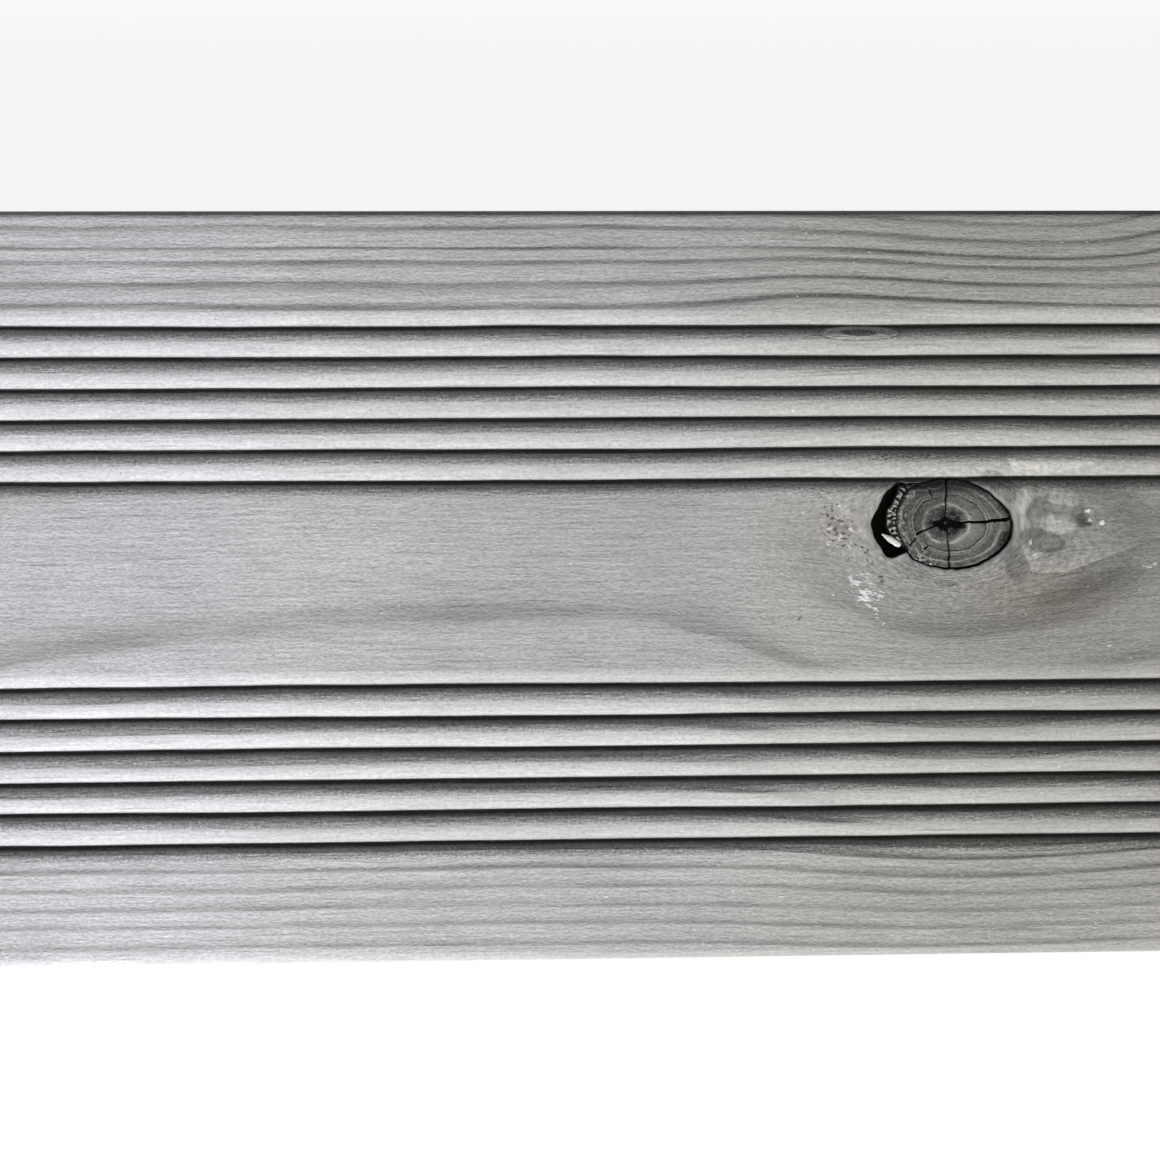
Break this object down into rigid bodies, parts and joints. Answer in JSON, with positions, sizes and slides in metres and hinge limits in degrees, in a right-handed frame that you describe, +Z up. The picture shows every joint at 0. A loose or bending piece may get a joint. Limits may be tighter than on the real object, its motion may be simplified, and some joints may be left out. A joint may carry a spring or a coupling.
{
  "type": "reeded pine floorboard",
  "caption": "Long flat outdoor floorboard of weathered grey pine, with a band of round reeds each side of a plain middle that holds a dead knot. Laid on joists as decking.",
  "frame": {"origin": "middle of the underside, which rests on the joists", "axes": "+X along the board and its grain, +Y across the board, +Z up out of the reeded face"},
  "size_m": [1.8, 0.145, 0.028],
  "materials": {
    "weathered_pine": "bare softwood weathered silver grey, with raised grain and darker late wood"
  },
  "bodies": {
    "root": {"floorboard": "weathered_pine"}
  },
  "joints": []
}
